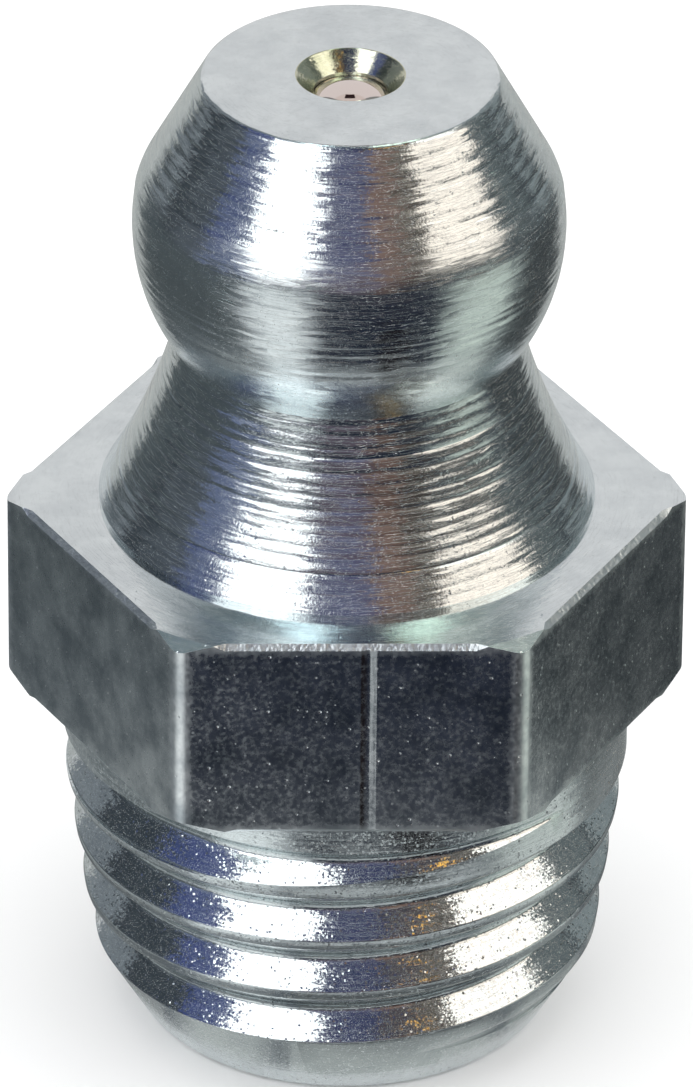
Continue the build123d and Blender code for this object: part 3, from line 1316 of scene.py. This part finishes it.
# %% [markdown]
# ## Coloured cards in front
#
# The nose cone, the flare and the flanks of the thread all lean back between 14 and 56 degrees, so
# they mirror the cards of this cell. Blue, brown and grey cards between the two bright boxes give
# the metal its cool and warm bands. The colour of a card changes with the tilt, so that a flank
# which leans back further is darker.

# %% Coloured cards in front
low = every(6, 14, 56)
blues = ["#707A98", "#707A98", "#666F8C", "#586288", "#465280", "#46528A"]
navies = ["#5C545C", "#645A68", "#686A86", "#5A5C7A", "#3E4468", "#2E385C"]
browns = ["#5E4C44", "#6A5248", "#8A7268", "#82685E", "#4A464C", "#40404A"]
blacks = ["#3A3634", "#443E3A", "#5A544E", "#78726A", "#5C5650", "#504C4A"]
greys = ["#50565C", "#555B62", "#555B62", "#50565C", "#3C4248", "#3A4046"]
card("left_grey_card", tent(290), (-58, -43), low, greys)
card("left_blue_card", tent(290), (-43, -24), low, blues)
card("navy_card", tent(290), (-12, 6), low, navies)
card("brown_card", tent(290), (6, 15), low, browns)
card("black_card", tent(290), (15, 24), low, blacks)
card("right_grey_card", tent(290), (43, 62), low, ["#4C5456", "#4C5456", "#586062", "#646C6E"])
print("tilts of their stops:", low)

# %% [markdown]
# ## The two bright boxes
#
# Two soft boxes stand left and right of the camera and give the white patches. Each is built of a
# middle, a top and a dim rim below, because a soft box fades at its lower edge. The small gold
# card is what shows on the flanks of the thread as a warm spot.

# %% The two bright boxes
card("left_box_rim", tent(262), (-26.5, -10), every(2, 15, 23),
     ["#70747A", "#A0A2A8", "#D4D4D8", "#FFFFFF"], 1.2, ends="#50545C")
card("left_soft_box", tent(260), (-31, -10.5), every(5, 22, 37), ["#FFFFFF"], 2.3)
card("left_box_top", tent(260), (-29, -8), every(6, 37, 55), ["#FFFFFF"], 2.2)
card("right_box_rim", tent(262), (23, 43), every(2, 18, 26), ["#4A4846", "#64605C", "#8C8680", "#C4C0B8"])
card("right_soft_box", tent(260), (23, 47), every(6, 25, 37), ["#FFF0E2"], 1.5)
card("right_box_top", tent(260), (23, 46.5), every(6, 37, 55), ["#FFF8F0"], 1.9)
card("gold_card", tent(255), (12.5, 16.5), every(2, 41, 47), ["#FFC454"], 2.0, ends="#6A4438")

# %% [markdown]
# ## Cards overhead
#
# The top of the hexagon mirrors the flare, which mirrors what is high up, and the check ball mirrors
# what is straight above it. The dark card in the middle is the front of the lens.

# %% Cards overhead
high = every(4, 56, 68)
card("left_high_grey", tent(290), (-60, -15), high, ["#7C888C"])
card("left_high_box", tent(290), (-15, -5), high, ["#E6FAFF"], 2.6)
card("high_navy_card", tent(290), (-5, 13), high, ["#485060"])
card("right_high_box", tent(290), (13, 24), high, ["#E6FAE6"], 2.2)
card("right_high_grey", tent(290), (24, 60), high, ["#A8B0AC"])
card("overhead", tent(292), (-90, 90), every(7, 68, 89), ["#DCD6D4"])
card("lens_card", tent(286), (-14, 14), [71, 75.5], ["#302426"])
print("cards overhead reach from", high[0], "to 89 degrees")

# %% [markdown]
# ## Cards on the table
#
# The flats of the hexagon, the crests of the thread and the lower half of the ball head all mirror
# the table. Cards round the foot make the flats dark in front and lighter on the left. The crests
# see the table close to the foot, so the rings of colour are narrow there. The last card is what
# darkens the left wall of the seam.

# %% Cards on the table
radii = [3.4, 6, 8, 13, 20, 70, 110, 290]
card_lift = 0.05


def on_floor(azimuth, radius):
    """A spot just above the table."""
    a = math.radians(azimuth)
    return Vector((math.sin(a) * radius, -math.cos(a) * radius, card_lift))


card("floor_rear", on_floor, (136, 224), radii,
     ["#808486", "#8C9092", "#A0A4A4", "#B4B8B8", "#BEC0BE"])
card("floor_left_side", on_floor, (-140, -60), radii,
     ["#9CA0A0", "#585C60", "#A8ACAC", "#5C6266", "#505658", "#50585C", "#484E52"])
card("floor_left", on_floor, (-60, -16), radii,
     ["#B4B8B6", "#707478", "#F0F4F4", "#F0F4F4", "#F4F6F6", "#E8ECEC", "#50585C", "#484E52"],
     1.1, ends="#4E545C")
card("floor_front", on_floor, (-18, 48), radii,
     ["#B4B8B6", "#2C3036", "#C8CCCC", "#2C303A", "#202634", "#282C38", "#383C46"])
card("floor_right", on_floor, (44, 96), radii,
     ["#B4B8B6", "#7C8080", "#E0E4E0", "#B8C0BA", "#D8E2D8", "#C0C8BE", "#50585C", "#484E52"],
     ends="#4E545C")
card("floor_right_side", on_floor, (94, 140), radii,
     ["#B4B8B6", "#585C60", "#8C9090", "#404446", "#404446", "#404446", "#484E52"])
card("seam_card", lambda azimuth, radius: on_floor(azimuth, radius) + Vector((0, 0, card_lift)),
     (16, 31), [10, 26], ["#140C0E"])

# %% [markdown]
# ## Lamps
#
# Two large square lamps add a little light from the upper left and the right, so that the shadow on
# the table has a direction. They are kept out of the metal, where the boxes are seen in their place.

# %% Lamps
def lamp(name, azimuth, elevation, distance, size, power):
    """A square lamp that faces the foot of the piece, with its distance and size in millimetres."""
    data = bpy.data.lights.new(name, "AREA")
    data.shape = "SQUARE"
    data.size = size * MM
    data.energy = power
    made = bpy.data.objects.new(name, data)
    away = direction(azimuth, elevation)
    made.location = away * distance * MM
    made.rotation_euler = away.to_track_quat("Z", "Y").to_euler()
    made.visible_glossy = False
    made.visible_camera = False
    scene.collection.objects.link(made)


lamp("left_lamp", -40, 50, 300, 200, 0.1)
lamp("right_lamp", 60, 45, 300, 160, 0.07)

# %% [markdown]
# ## The camera
#
# A macro lens of long focal length looks down at the piece by 31 degrees from a hand's breadth away,
# so the flats and the two faces are seen together. The camera sits on the line of its turn and
# elevation, and is rolled by half a degree, as a hand-set tripod head often is.

# %% The camera
camera_distance, camera_turn, camera_roll = 171.9, -1.0, 0.49
focal_pixels, frame_height = 11304, 1087
look_at = Vector((0, 0, 7.86))
camera_data = bpy.data.cameras.new("camera")
camera_data.sensor_width = 36
camera_data.lens = focal_pixels * camera_data.sensor_width / frame_height
camera_data.clip_start = 0.01
camera = bpy.data.objects.new("camera", camera_data)
back = direction(camera_turn, camera_elevation)
camera.rotation_mode = "QUATERNION"
camera.location = (look_at + back * camera_distance) * MM
camera.rotation_quaternion = (-back).to_track_quat("-Z", "Y") @ Matrix.Rotation(
    math.radians(camera_roll), 3, "Z"
).to_quaternion()
scene.collection.objects.link(camera)
scene.camera = camera
print(f"camera with a {camera_data.lens:.0f} mm lens")

# %% [markdown]
# ## The box of the CAD model
#
# The box of the CAD model is printed, in millimetres. The visual model has to stay inside the
# box of the CAD model.

# %% The box of the CAD model
print("CAD box:", [round(v / MM, 2) for v in (*cad_low, *cad_high)])
